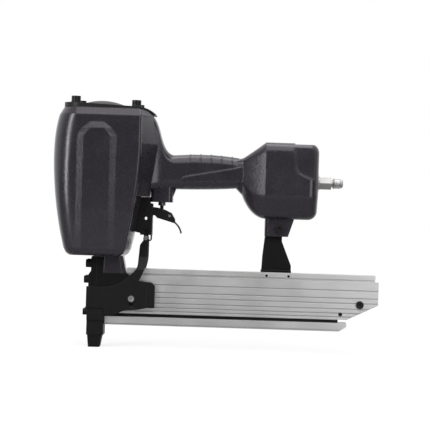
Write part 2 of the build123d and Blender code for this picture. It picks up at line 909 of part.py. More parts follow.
with BuildPart() as piston_ring:
    rod_z(drive_x, 0, sleeve_bore_r - fit, ring_bottom + fit, ring_bottom + ring_height - fit)
    rod_z(drive_x, 0, sleeve_bore_r - ring_depth + fit, ring_bottom, ring_bottom + ring_height,
          Mode.SUBTRACT)

with BuildPart() as driver_blade:
    span((drive_x - blade_thick / 2, -blade_half, blade_tip),
         (drive_x + blade_thick / 2, blade_half, blade_top))
    rod_x(0, pin_z, driver_pin_r + fit, drive_x - 5, drive_x + 5, Mode.SUBTRACT)

with BuildPart() as driver_pin:
    rod_x(0, pin_z, driver_pin_r, drive_x - 10, drive_x + 10)

# Head valve: a stepped ring that closes the sleeve's top, with a seal in its groove
valve_floor = sleeve_top + 0.2
valve_top = valve_floor + head_valve_height
groove_low = valve_floor + 1.5
groove_high = groove_low + head_valve_groove
with BuildPart() as head_valve:
    rod_z(drive_x, 0, chamber_wall_r - slide_fit, valve_floor, valve_top - 2)
    rod_z(drive_x, 0, sleeve_bore_r - head_valve_neck_in, valve_top - 3, valve_top)
    rod_z(drive_x, 0, chamber_wall_r, groove_low, groove_high, Mode.SUBTRACT)
    rod_z(drive_x, 0, chamber_wall_r - ring_depth, groove_low - 0.5, groove_high + 0.2)
    rod_z(drive_x, 0, head_valve_bore_r, valve_floor - 1, valve_top + 1, Mode.SUBTRACT)

with BuildPart() as head_valve_seal:
    rod_z(drive_x, 0, chamber_wall_r - fit, groove_low + fit, groove_high - fit)
    rod_z(drive_x, 0, chamber_wall_r - ring_depth + fit, groove_low, groove_high, Mode.SUBTRACT)


def cap_top_at(x):
    """Height of the cap's sloping top at one place along the tool."""
    return cap_front_top - cap_fall * (x - head_front) / (lip_root - head_front)


# Top cap: gasket, cover with dome and exhaust lip, washers and screws
with BuildPart() as cap_gasket:
    extrude(top_outline(Plane.XY.offset(head_top), cap_inset, lip_end, lip_half), amount=gasket_thick)
    span((lip_root - 1, -head_half, head_top - 1), (lip_end + 1, head_half, cap_bottom + 1), Mode.SUBTRACT)
    rod_z(drive_x, 0, chamber_wall_r, head_top - 1, cap_bottom + 1, Mode.SUBTRACT)
    for x, y in cap_screw_spots:
        rod_z(x, y, cap_screw_r + fit, head_top - 1, cap_bottom + 1, Mode.SUBTRACT)

lip_bottom = cap_bottom - lip_drop
dome_sphere_r = (dome_r**2 + dome_rise**2) / (2 * dome_rise)
with BuildPart() as top_cap:
    extrude(top_outline(Plane.XY.offset(lip_bottom - 1), cap_inset, lip_end + 1, lip_half),
            amount=cap_front_top - lip_bottom + 2)
    # Side shape: flat seat, top that falls to the rear, lip curling down over the handle's root
    with BuildSketch(Plane.XZ) as side_shape:
        with BuildLine():
            Line((head_front, cap_bottom), (lip_root, cap_bottom))
            ThreePointArc((lip_root, cap_bottom), (lip_middle_x, lip_middle_z),
                          (lip_end - lip_thick, lip_bottom))
            Line((lip_end - lip_thick, lip_bottom), (lip_end, lip_bottom + 0.5))
            ThreePointArc((lip_end, lip_bottom + 0.5), (lip_middle_x + 0.6, lip_middle_z + lip_thick),
                          (lip_root, cap_top_at(lip_root)))
            Polyline((lip_root, cap_top_at(lip_root)), (head_front, cap_front_top), (head_front, cap_bottom))
        make_face()
    extrude(side_shape.sketch, amount=head_half, both=True, mode=Mode.INTERSECT)
    with BuildSketch(Plane.XZ) as dome_shape:
        with BuildLine():
            Polyline((drive_x, dome_top), (drive_x, cap_bottom), (drive_x + dome_r, cap_bottom),
                     (drive_x + dome_r, dome_base))
            ThreePointArc((drive_x + dome_r, dome_base),
                          (drive_x + dome_r / 2,
                           dome_top - dome_sphere_r + sqrt(dome_sphere_r**2 - (dome_r / 2) ** 2)),
                          (drive_x, dome_top))
        make_face()
    revolve(dome_shape.sketch, axis=Axis((drive_x, 0, 0), (0, 0, 1)))
    # Pocket under the dome and the exhaust way to the rear lip
    rod_z(drive_x, 0, dome_pocket_r, cap_bottom - 1, dome_pocket_top, Mode.SUBTRACT)
    span((drive_x, -exhaust_half, cap_bottom - 1),
         (lip_root + 3, exhaust_half, cap_bottom + exhaust_height), Mode.SUBTRACT)
    for x, y in cap_screw_spots:
        seat = cap_top_at(x) - cap_seat_depth
        rod_z(x, y, washer_r + fit, seat, cap_front_top + 1, Mode.SUBTRACT)
        rod_z(x, y, cap_screw_r + fit, cap_bottom - 1, seat + 1, Mode.SUBTRACT)

with BuildPart() as cap_washers:
    for x, y in cap_screw_spots:
        seat = cap_top_at(x) - cap_seat_depth
        rod_z(x, y, washer_r, seat, seat + washer_thick)
        rod_z(x, y, cap_screw_r + fit, seat - 1, seat + washer_thick + 1, Mode.SUBTRACT)


def socket_screw(plane, r, length, head_r, head):
    """A socket head screw: the plane is under its head, its normal points out of the head."""
    with BuildSketch(plane) as disc:
        Circle(head_r)
    extrude(disc.sketch, amount=head)
    with BuildSketch(plane) as shank:
        Circle(r)
    extrude(shank.sketch, amount=-length)
    with BuildSketch(plane.offset(head)) as socket:
        RegularPolygon(head_r * 0.55, 6)
    extrude(socket.sketch, amount=-head * 0.6, mode=Mode.SUBTRACT)


with BuildPart() as cap_screws:
    for x, y in cap_screw_spots:
        head_seat = cap_top_at(x) - cap_seat_depth + washer_thick
        socket_screw(Plane((x, y, head_seat)), cap_screw_r, head_seat - head_top + cap_screw_length - 1,
                     cap_screw_head_r, cap_screw_head)

# Reservoir end cap, its seal and snap ring, and the air plug
snap_front = end_cap_front + end_cap_thick
seal_low = end_cap_front + 3
seal_high = seal_low + head_valve_groove
seal_r = chamber_r - 2.2
plug_front = reservoir_rear + end_cap_boss
with BuildPart() as end_cap:
    rod_x(0, air_z, chamber_r - fit, end_cap_front, snap_front)
    rod_x(0, air_z, end_cap_boss_r, snap_front - 1, plug_front)
    rod_x(0, air_z, chamber_r + 1, seal_low, seal_high, Mode.SUBTRACT)
    rod_x(0, air_z, seal_r, seal_low - 1, seal_high + 0.5)
    rod_x(0, air_z, plug_tail_r + fit, end_cap_front - 1, plug_front + 1, Mode.SUBTRACT)

with BuildPart() as end_cap_seal:
    rod_x(0, air_z, chamber_r - fit, seal_low + fit, seal_high - fit)
    rod_x(0, air_z, seal_r + fit, seal_low - 1, seal_high + 1, Mode.SUBTRACT)

with BuildPart() as end_cap_ring:
    rod_x(0, air_z, chamber_r - fit, snap_front, snap_front + snap_thick)
    rod_x(0, air_z, chamber_r - 3, snap_front - 1, snap_front + snap_thick + 1, Mode.SUBTRACT)
    span((snap_front - 1, -4, air_z - chamber_r - 1),
         (snap_front + snap_thick + 1, 4, air_z - chamber_r + 6), Mode.SUBTRACT)

hex_front = plug_front + plug_collar
hex_rear = hex_front + plug_hex
bead_front = hex_rear + plug_groove
land_front = bead_front + plug_bead
land_rear = land_front + plug_land
plug_end = land_rear + plug_tip
with BuildPart() as air_plug:
    rod_x(0, air_z, plug_tail_r, end_cap_front, plug_front + 1)
    rod_x(0, air_z, plug_collar_r, plug_front, hex_front)
    with BuildSketch(Plane.YZ.offset(hex_front)):
        with Locations((0, air_z)):
            RegularPolygon(plug_flats / 2, 6, major_radius=False)
    extrude(amount=plug_hex)
    # Quick-coupling end: neck, bead, land and bevelled tip
    with BuildSketch(Plane.XZ):
        with BuildLine():
            Polyline(
                (hex_rear - 1, air_z),
                (hex_rear - 1, air_z + plug_r - 1.2),
                (bead_front, air_z + plug_r - 1.2),
                (bead_front + plug_bead / 3, air_z + plug_r + 0.5),
                (land_front - plug_bead / 3, air_z + plug_r + 0.5),
                (land_front, air_z + plug_r),
                (land_rear, air_z + plug_r),
                (land_rear + plug_tip / 3, air_z + plug_r - 0.7),
                (plug_end - plug_tip / 3, air_z + plug_r - 0.7),
                (plug_end, air_z + plug_r - 1.7),
                (plug_end, air_z),
                close=True,
            )
        make_face()
    revolve(axis=Axis((0, 0, air_z), (1, 0, 0)))
    rod_x(0, air_z, plug_bore_r, end_cap_front - 1, plug_end + 1, Mode.SUBTRACT)

# Trigger valve: bushing, stem
stem_collar_z = boss_bottom + 6
with BuildPart() as valve_bushing:
    rod_z(valve_x, 0, bushing_r, boss_bottom, bushing_top - fit)
    rod_z(valve_x, 0, bushing_nose_r, bushing_nose_bottom, boss_bottom + 1)
    rod_z(valve_x, 0, stem_r + fit, bushing_nose_bottom - 1, bushing_top + 1, Mode.SUBTRACT)
    rod_z(valve_x, 0, stem_collar_r + fit, stem_collar_z, bushing_top - 3, Mode.SUBTRACT)

with BuildPart() as valve_stem:
    rod_z(valve_x, 0, stem_r, stem_bottom, bushing_top - 4)
    rod_z(valve_x, 0, stem_collar_r, stem_collar_z + 0.1, stem_collar_z + 2)
    chamfer(valve_stem.edges().sort_by(Axis.Z)[0], 0.5)

# Safety guide: a channel on the head's sloping rear that carries the slider and the trigger
guide_inner = guide_half - guide_wall
with BuildPart() as safety_guide:
    side_pair(guide_inner, guide_half, [
        (guide_face(guide_foot), guide_foot),
        (guide_step_x, guide_foot - 1.2),
        (guide_step_x, guide_bottom),
        (guide_rear, guide_bottom),
        (guide_rear, boss_bottom - 1.8),
        (boss_front - 0.6, boss_bottom - 1.2),
        (boss_front - 0.6, guide_top),
        (guide_face(guide_top), guide_top),
    ])
    side_sheet(guide_half, [
        (guide_face(guide_foot), guide_foot),
        (guide_face(guide_foot) + guide_wall, guide_foot),
        (guide_face(guide_top) + guide_wall, guide_top),
        (guide_face(guide_top), guide_top),
    ])
    # Open slots for the arm rivet, the trigger pin's bores and the sight hole
    span((rivet_x - rivet_r - slide_fit, -guide_half - 1, guide_bottom - 1),
         (rivet_x + rivet_r + slide_fit, guide_half + 1, rivet_z + contact_lift + rivet_r + slide_fit),
         Mode.SUBTRACT)
    rod_y(trigger_x, trigger_z, trigger_pin_r + fit, -guide_half - 1, guide_half + 1, Mode.SUBTRACT)
    rod_y(sight_x, sight_z, sight_r, -guide_half - 1, guide_half + 1, Mode.SUBTRACT)
    for z in guide_screw_z:
        drill(guide_plane(z), guide_screw_r + fit, guide_wall + 1)

with BuildPart() as guide_screws:
    for z in guide_screw_z:
        plate_face = guide_plane(z).offset(guide_wall / sqrt(1 + guide_slope**2))
        socket_screw(plate_face, guide_screw_r, guide_wall + guide_screw_hold, guide_screw_head_r,
                     guide_screw_head)

# Trigger: a stamped channel hinged inside the guide, with a curled finger lip
cheek_out = guide_inner - slide_fit
cheek_in = cheek_out - trigger_sheet


def on_trigger(along, up):
    """A point given from the trigger's hinge."""
    return (trigger_x + along, trigger_z + up)


with BuildPart() as trigger:
    side_pair(cheek_in, cheek_out, [on_trigger(along, up) for along, up in trigger_cheek])
    for side in (-1, 1):
        low, high = sorted((side * cheek_in, side * cheek_out))
        rod_y(trigger_x, trigger_z, trigger_eye_r, low, high)
    # Finger web under the cheeks, with the lip curling away below
    with BuildSketch(Plane.XZ) as finger:
        with BuildLine():
            Line(on_trigger(11.7, -8.6), on_trigger(31.6, -14.2))
            ThreePointArc(on_trigger(31.6, -14.2), on_trigger(36.0, -19.2), on_trigger(38.4, -25.4))
            Line(on_trigger(38.4, -25.4), on_trigger(39.8, -24.9))
            ThreePointArc(on_trigger(39.8, -24.9), on_trigger(37.3, -18.4), on_trigger(32.4, -12.9))
            Polyline(on_trigger(32.4, -12.9), on_trigger(12.1, -7.1), on_trigger(11.7, -8.6))
        make_face()
    extrude(finger.sketch, amount=cheek_out, both=True)
    rod_y(trigger_x, trigger_z, trigger_pin_r + fit, -cheek_out - 1, cheek_out + 1, Mode.SUBTRACT)
    rod_y(lever_x, lever_z, lever_pin_r + fit, -cheek_out - 1, cheek_out + 1, Mode.SUBTRACT)

with BuildPart() as trigger_pin:
    rod_y(trigger_x, trigger_z, trigger_pin_r, -guide_half - 0.8, guide_half + 0.8)

with BuildPart() as lever_pin:
    rod_y(lever_x, lever_z, lever_pin_r, -cheek_out - 0.8, cheek_out + 0.8)

# Trigger lever: hub on the trigger, finger forward over the slider's top
with BuildPart() as trigger_lever:
    side_sheet(lever_half, [
        (lever_tip_x, lever_tip_z - lever_thick / 2),
        (lever_x, lever_z - lever_thick / 2),
        (lever_x, lever_z + lever_thick / 2),
        (lever_tip_x, lever_tip_z + lever_thick / 2),
    ])
    rod_y(lever_x, lever_z, lever_pin_r + 1.6, slide_fit - cheek_in, cheek_in - slide_fit)
    rod_y(lever_x, lever_z, lever_pin_r + fit, -cheek_in - 1, cheek_in + 1, Mode.SUBTRACT)

# Slider: an eye on the arm's rivet with a strip that rises inside the guide under the lever's tip
slider_rear = guide_rear - 0.1
slider_bottom = rivet_z - rivet_r - slider_thick
with BuildPart() as safety_slider:
    rod_y(rivet_x, rivet_z, rivet_head_r, -cheek_out, cheek_out)
    span((rivet_x - rivet_head_r, -cheek_out, rivet_z), (rivet_x + rivet_head_r, cheek_out, guide_bottom + 1))
    span((rivet_x - slider_eye, -cheek_out, guide_bottom + 0.2),
         (rivet_x + slider_eye, cheek_out, rivet_z + slider_rise))
    side_sheet(lever_half, [
        (rivet_x, slider_bottom),
        (slider_rear - slider_thick, slider_bottom),
        (slider_rear, slider_bottom + slider_thick),
        (slider_rear, lever_tip_z - lever_thick / 2 - slider_gap),
        (slider_rear - slider_thick, lever_tip_z - lever_thick / 2 - slider_gap),
        (slider_rear - slider_thick, slider_bottom + slider_thick),
        (rivet_x, slider_bottom + slider_thick),
    ])
    rod_y(rivet_x, rivet_z, rivet_r + fit, -guide_half, guide_half, Mode.SUBTRACT)

# Nose: front plate and rear block with the blade's groove between them
groove_back = drive_x + blade_thick / 2 + blade_fit
with BuildPart() as nose_front_plate:
    side_sheet(nose_half, [
        (flange_front, nose_top),
        (nose_split, nose_top),
        (nose_split, nose_waist),
        (nose_front, nose_waist),
        (nose_front, brow_bottom),
        (flange_front, brow_top),
    ])
    span((flange_front, -nose_waist_half, nose_tip_top), (nose_split, nose_waist_half, nose_waist))
    span((nose_tip_front, -nose_tip_half, nose_tip_bottom), (nose_split, nose_tip_half, nose_tip_top))
    for y in upper_screw_spots:
        rod_x(y, upper_screw_z, upper_screw_r + fit, nose_front - 1, nose_split + 1, Mode.SUBTRACT)
    for y in middle_screw_spots:
        rod_x(y, middle_screw_z, middle_screw_r + fit, nose_front - 1, nose_split + 1, Mode.SUBTRACT)

with BuildPart() as nose_rear_block:
    span((nose_split, -nose_half, nose_waist), (nose_back, nose_half, nose_top))
    span((nose_split, -nose_waist_half, nose_tip_top), (nose_back, nose_waist_half, nose_waist))
    span((nose_split, -nose_tip_half, nose_tip_bottom), (nose_tip_back, nose_tip_half, nose_tip_top))
    # Cheeks that hold the magazine's front end
    side_pair(magazine_half + fit, nose_half, [
        (nose_back - 1, neck_bottom),
        (cheek_rear - 12, neck_bottom),
        (cheek_rear, neck_bottom - 8),
        (cheek_rear, cheek_bottom),
        (magazine_front, cheek_bottom),
        (magazine_front, nose_waist),
        (nose_back - 1, nose_waist),
    ])
    # Blade groove and the staples' way in from the magazine
    span((nose_split - 1, -blade_half - blade_fit, nose_tip_bottom - 1),
         (groove_back, blade_half + blade_fit, nose_top + 1), Mode.SUBTRACT)
    span((nose_split - 1, -magazine_inner, magazine_bottom + 2),
         (nose_back + 1, magazine_inner, magazine_top - magazine_roof + 2), Mode.SUBTRACT)
    for y in upper_screw_spots:
        rod_x(y, upper_screw_z, upper_screw_r + fit, nose_split - 1, nose_back + 1, Mode.SUBTRACT)
    for y in middle_screw_spots:
        rod_x(y, middle_screw_z, middle_screw_r + fit, nose_split - 1, nose_back + 1, Mode.SUBTRACT)
    rod_y(shoulder_x, shoulder_z, shoulder_r + fit, -nose_half - 1, nose_half + 1, Mode.SUBTRACT)


def facing_front(x, y, z):
    """A plane whose normal points to the front, for a screw head on a front face."""
    return Plane((x, y, z), x_dir=(0, 1, 0), z_dir=(-1, 0, 0))


with BuildPart() as nose_upper_screws:
    for y in upper_screw_spots:
        socket_screw(facing_front(flange_front, y, upper_screw_z), upper_screw_r, upper_screw_length,
                     upper_screw_head_r, upper_screw_head)

with BuildPart() as nose_middle_screws:
    for y in middle_screw_spots:
        socket_screw(facing_front(nose_front, y, middle_screw_z), middle_screw_r, nose_back - nose_front,
                     middle_screw_head_r, middle_screw_head)

# Contact shoe: a sleeve round the nose with a tapered tip
shoe_upper_half = yoke_half - yoke_sheet
cavity_step = nose_tip_top - contact_lift - 0.6
with BuildPart() as contact_shoe:
    span((shoe_front, -shoe_half, shoe_step), (shoe_back, shoe_half, shoe_shoulder))
    span((shoe_front, -shoe_upper_half, shoe_shoulder), (shoe_back, shoe_upper_half, shoe_top))
    loft([
        bevelled_level(0, shoe_tip_front, shoe_tip_back, shoe_tip_half, 1, 1),
        bevelled_level(shoe_step, shoe_front + 0.9, shoe_back - 1.7, shoe_half - 1, 1, 1),
    ], ruled=True)
    span((flange_front - slide_fit, -nose_waist_half - slide_fit, cavity_step),
         (nose_back + slide_fit, nose_waist_half + slide_fit, shoe_top + 1), Mode.SUBTRACT)
    span((nose_tip_front - slide_fit, -nose_tip_half - slide_fit, -1),
         (nose_tip_back + slide_fit, nose_tip_half + slide_fit, cavity_step + 1), Mode.SUBTRACT)
    # Step that the yoke's front sheet stands on
    span((shoe_front - 1, -yoke_half, yoke_front_bottom),
         (yoke_front + yoke_front_sheet, yoke_half, shoe_top + 1), Mode.SUBTRACT)
    # Open to the rear above a low wall, which stays under the staple core when lifted
    span((nose_back, -nose_waist_half - slide_fit, rail_top - contact_lift - shoe_wall_gap),
         (shoe_back + 1, nose_waist_half + slide_fit, shoe_top + 1), Mode.SUBTRACT)
    for y in middle_screw_spots:
        rod_x(y, shoe_screw_z, shoe_screw_r + fit, shoe_front - 1, flange_front, Mode.SUBTRACT)

with BuildPart() as shoe_screws:
    for y in middle_screw_spots:
        socket_screw(facing_front(shoe_front, y, shoe_screw_z), shoe_screw_r, shoe_screw_length,
                     shoe_screw_head_r, shoe_screw_head)

# Safety yoke: sheet bent round the nose, with an arm up each side that steps in to the guide
yoke_in = yoke_half - yoke_sheet
arm_in = arm_half - yoke_sheet
arm_foot = (46.1, 97.4)
arm_top = rivet_z + arm_eye_r
with BuildPart() as safety_yoke:
    with BuildSketch(Plane.XZ) as yoke_side:
        with BuildLine():
            Polyline((yoke_front, yoke_front_bottom), (yoke_front, yoke_top), (shoe_back, yoke_top))
            Spline((shoe_back, yoke_top), (24.9, 69.9), (33.4, 76.0), (42.4, 84.4), arm_foot,
                   tangents=[(1, 0), (0.02, 1)])
            Polyline(arm_foot, (arm_front, arm_neck_z), (rivet_x - arm_eye_r, rivet_z - arm_eye_r),
                     (rivet_x - arm_eye_r, rivet_z))
            ThreePointArc((rivet_x - arm_eye_r, rivet_z), (rivet_x, arm_top), (rivet_x + arm_eye_r, rivet_z))
            Polyline((rivet_x + arm_eye_r, rivet_z), (arm_rear, rivet_z - arm_eye_r), (arm_rear, 104))
            Spline((arm_rear, 104), (54.8, 91.5), (51.6, 82.4), (47.6, 74.1), tangents=[(0, -1), (-0.6, -1)])
            Polyline((47.6, 74.1), (55.4, yoke_plate_top), (59.8, yoke_plate_top))
            ThreePointArc((59.8, yoke_plate_top), (yoke_rear - 1.6, yoke_plate_top - 2), (yoke_rear, 66))
            Polyline(
                (yoke_rear, 66),
                (yoke_rear, 44.8),
                (57.2, 44.8),
                (46.8, 42.4),
                (33, 41.5),
                (22, 36.4),
                (shoe_back + 1.4, 35.6),
                (shoe_back + 0.5, yoke_front_bottom),
                (yoke_front, yoke_front_bottom),
            )
        make_face()
    extrude(yoke_side.sketch, amount=yoke_half + 1, both=True)
    # The bent sheet seen from the front
    with BuildSketch(Plane.YZ.offset(yoke_front - 1)) as yoke_front_view:
        with BuildLine():
            Polyline(
                (-yoke_half, 30),
                (-yoke_half, arm_bend_low),
                (-arm_half, arm_bend_high),
                (-arm_half, arm_top + 1),
                (-arm_in, arm_top + 1),
                (-arm_in, arm_bend_high),
                (-yoke_in, arm_bend_low),
                (-yoke_in, 30),
                close=True,
            )
        make_face()
        mirror(about=Plane.YZ)
    extrude(yoke_front_view.sketch, amount=yoke_rear - yoke_front + 2, mode=Mode.INTERSECT)
    span((yoke_front, -yoke_half, yoke_front_bottom), (yoke_front + yoke_front_sheet, yoke_half, yoke_top))
    # Room for the middle nose screws when the yoke rises
    notch_half = middle_screw_y + middle_screw_head_r + slide_fit
    notch_bottom = middle_screw_z - middle_screw_head_r - contact_lift - 1
    span((yoke_front - 1, -notch_half, notch_bottom), (yoke_front + 3, notch_half, yoke_top + 1),
         Mode.SUBTRACT)
    # Long slots for the fixed shoulder screws, the rivet's bore and the rear strip set in
    with BuildSketch(Plane.XZ) as slot:
        with Locations((shoulder_x, shoulder_z - contact_lift / 2)):
            SlotCenterToCenter(contact_lift, 2 * shoulder_r + 2 * slide_fit, rotation=90)
    extrude(slot.sketch, amount=yoke_half + 2, both=True, mode=Mode.SUBTRACT)
    rod_y(rivet_x, rivet_z, rivet_r + fit, -yoke_half, yoke_half, Mode.SUBTRACT)
    side_pair(yoke_half - yoke_strip_depth, yoke_half + 1, [
        (yoke_rear - yoke_strip, yoke_front_bottom - 5),
        (yoke_rear + 1, yoke_front_bottom - 5),
        (yoke_rear + 1, yoke_plate_top + 1),
        (yoke_rear - yoke_strip, yoke_plate_top + 1),
    ], Mode.SUBTRACT)

with BuildPart() as arm_rivet:
    rod_y(rivet_x, rivet_z, rivet_r, -arm_half - 0.5, arm_half + 0.5)
    for side in (-1, 1):
        low, high = sorted((side * arm_half, side * (arm_half + rivet_head)))
        rod_y(rivet_x, rivet_z, rivet_head_r, low, high)

with BuildPart() as shoulder_screws:
    for side in (-1, 1):
        low, high = sorted((side * (magazine_half + 0.3), side * (yoke_half + 0.4)))
        rod_y(shoulder_x, shoulder_z, shoulder_r, low, high)
        low, high = sorted((side * (yoke_half + slide_fit), side * (yoke_half + slide_fit + shoulder_head)))
        rod_y(shoulder_x, shoulder_z, shoulder_head_r, low, high)
        low, high = sorted((side * (yoke_half + shoulder_head - 0.6), side * (yoke_half + shoulder_head + 1)))
        rod_y(shoulder_x, shoulder_z, shoulder_dimple_r, low, high, Mode.SUBTRACT)

# Magazine channel: an inverted U with grooved sides and a bevelled rear end
with BuildPart() as magazine_channel:
    with BuildSketch(Plane.YZ.offset(magazine_front)):
        with Locations((0, (magazine_bottom + magazine_top) / 2)):
            Rectangle(2 * magazine_half, magazine_top - magazine_bottom)
        with Locations((0, (magazine_bottom + magazine_top - magazine_roof) / 2)):
            Rectangle(2 * magazine_inner, magazine_top - magazine_roof - magazine_bottom, mode=Mode.SUBTRACT)
        with Locations([(side * magazine_half, z) for side in (-1, 1) for z in groove_heights]):
            Rectangle(2 * groove_depth, groove_width, mode=Mode.SUBTRACT)
    extrude(amount=magazine_rear - magazine_front)
    side_sheet(magazine_half + 1, [
        (magazine_rear - magazine_end_run, magazine_bottom),
        (magazine_rear, magazine_end),
        (magazine_rear + 1, magazine_end),
        (magazine_rear + 1, magazine_bottom - 1),
        (magazine_rear - magazine_end_run, magazine_bottom - 1),
    ], Mode.SUBTRACT)
    for side in (-1, 1):
        low, high = sorted((side * (magazine_inner - 1), side * (magazine_half + 1)))
        rod_y(stop_screw_x, stop_screw_z, stop_screw_r + fit, low, high, Mode.SUBTRACT)
        rod_y(catch_x, catch_z, catch_r + fit, low, high, Mode.SUBTRACT)

with BuildPart() as stop_screws:
    for side in (-1, 1):
        side_face = Plane((stop_screw_x, side * magazine_half, stop_screw_z),
                          x_dir=(1, 0, 0), z_dir=(0, side, 0))
        socket_screw(side_face, stop_screw_r, magazine_half - magazine_inner - 0.1,
                     stop_screw_head_r, stop_screw_head)

with BuildPart() as catch_pins:
    for side in (-1, 1):
        low, high = sorted((side * (magazine_inner + 0.1), side * (magazine_half + 0.2)))
        rod_y(catch_x, catch_z, catch_r, low, high)

# Top rail: a T bar on the channel that carries the rear bracket
rail_slot_front = bracket_front - slide_fit
rail_slot_rear = bracket_rear + slide_fit
rail_face = magazine_top + top_rail_height
bracket_pin_x = [bracket_front + into for into in bracket_pin_in]
bracket_pin_z = rail_face - bracket_pin_drop
with BuildPart() as magazine_top_rail:
    with BuildSketch(Plane.YZ.offset(top_rail_front)):
        with BuildLine():
            Polyline(
                (-top_rail_neck, magazine_top),
                (-top_rail_neck, magazine_top + top_rail_neck_height),
                (-top_rail_half, magazine_top + top_rail_neck_height),
                (-top_rail_half, rail_face),
                (top_rail_half, rail_face),
                (top_rail_half, magazine_top + top_rail_neck_height),
                (top_rail_neck, magazine_top + top_rail_neck_height),
                (top_rail_neck, magazine_top),
                close=True,
            )
        make_face()
    extrude(amount=top_rail_rear - top_rail_front)
    span((rail_slot_front, -bracket_half - fit, magazine_top - 1),
         (rail_slot_rear, bracket_half + fit, rail_face + 1), Mode.SUBTRACT)
    for x in bracket_pin_x:
        rod_y(x, bracket_pin_z, bracket_pin_r + fit, -top_rail_half - 1, top_rail_half + 1, Mode.SUBTRACT)

# Rear bracket: a plate between the lug and the top rail, with a foot on the rail
with BuildPart() as rear_bracket:
    side_sheet(bracket_half, [
        (bracket_front, magazine_top),
        (bracket_rear, magazine_top),
        (bracket_rear, rail_face + 7.7),
        (bracket_waist_x, bracket_waist_z),
        (bracket_waist_x, lug_bottom),
        (bracket_waist_x + 3.5, reservoir_bottom - 2),
        (lug_front + 1.5, reservoir_bottom - 2),
        (lug_front + 0.4, lug_bottom),
        (bracket_front + 1.2, rail_face + 18),
    ])
    span((bracket_front, -bracket_foot_half, rail_face),
         (bracket_rear, bracket_foot_half, rail_face + bracket_foot_thick))
    rod_y(bolt_x, bolt_z, bolt_r + fit, -bracket_half - 1, bracket_half + 1, Mode.SUBTRACT)
    for x in bracket_pin_x:
        rod_y(x, bracket_pin_z, bracket_pin_r + fit, -bracket_half - 1, bracket_half + 1, Mode.SUBTRACT)

with BuildPart() as bracket_pins:
    for x in bracket_pin_x:
        rod_y(x, bracket_pin_z, bracket_pin_r, -top_rail_half - 0.1, top_rail_half + 0.1)

with BuildPart() as bracket_bolt:
    lug_face = Plane((bolt_x, -lug_half, bolt_z), x_dir=(1, 0, 0), z_dir=(0, -1, 0))
    socket_screw(lug_face, bolt_r, 2 * lug_half + nut_flat + 1.5, bolt_head_r, bolt_head)

with BuildPart() as bracket_nut:
    with BuildSketch(Plane.XZ.offset(-lug_half)):
        with Locations((bolt_x, bolt_z)):
            RegularPolygon(nut_flat, 6, major_radius=False)
            Circle(bolt_r + fit, mode=Mode.SUBTRACT)
    extrude(amount=-nut_flat)

# Magazine rail: the bottom bar, with a groove for the core
with BuildPart() as magazine_rail:
    with BuildSketch(Plane.YZ.offset(rail_front)):
        with BuildLine():
            Polyline(
                (rail_step_in - rail_half, rail_bottom),
                (rail_half - rail_step_in, rail_bottom),
                (rail_half - rail_step_in, rail_bottom + rail_step),
                (rail_half, rail_bottom + rail_step),
                (rail_half, rail_top),
                (-rail_half, rail_top),
                (-rail_half, rail_bottom + rail_step),
                (rail_step_in - rail_half, rail_bottom + rail_step),
                close=True,
            )
        make_face()
    extrude(amount=rail_rear - rail_front)
    side_sheet(rail_half + 1, [
        (rail_rear - rail_end_run, rail_bottom),
        (rail_rear, rail_bottom + rail_end_rise),
        (rail_rear + 1, rail_bottom + rail_end_rise),
        (rail_rear + 1, rail_bottom - 1),
        (rail_rear - rail_end_run, rail_bottom - 1),
    ], Mode.SUBTRACT)
    span((rail_front - 1, -core_half - fit, rail_top - core_seat),
         (rail_rear - core_end_in + fit, core_half + fit, rail_top + 1), Mode.SUBTRACT)

# Staple core: the bar that the staples hang on, with the pocket of the pusher's spring roll
core_step = magazine_bottom + 3
with BuildPart() as staple_core:
    span((rail_front, -core_half, rail_top - core_seat), (rail_rear - core_end_in, core_half, core_top))
    span((core_front, -core_half, core_step), (rail_front + 1, core_half, core_top))
    rod_y(roll_x, roll_z, roll_r + 1, -core_half + 1, core_half - 1, Mode.SUBTRACT)
    rod_y(roll_x, roll_z, roll_pin_r + fit, -core_half - 1, core_half + 1, Mode.SUBTRACT)

with BuildPart() as pusher_spring:
    rod_y(roll_x, roll_z, roll_r, -core_half + 1.2, core_half - 1.2)
    rod_y(roll_x, roll_z, roll_pin_r + fit, -core_half, core_half, Mode.SUBTRACT)

with BuildPart() as spring_pin:
    rod_y(roll_x, roll_z, roll_pin_r, -core_half, core_half)

# Pusher: a saddle on the core behind the staples
pusher_front = magazine_front + 0.5
saddle_in = core_half + slide_fit
saddle_top = magazine_top - magazine_roof - 0.7
with BuildPart() as pusher:
    span((pusher_front, -pusher_half, core_step), (pusher_front + pusher_length, pusher_half, saddle_top))
    span((pusher_front - 1, -saddle_in, core_step - 1),
         (pusher_front + pusher_length + 1, saddle_in, core_top + slide_fit), Mode.SUBTRACT)
    side_sheet(pusher_half + 1, [
        (pusher_front + 12, core_step - 1),
        (pusher_front + pusher_length + 1, core_step - 1),
        (pusher_front + pusher_length + 1, core_top - 8),
    ], Mode.SUBTRACT)

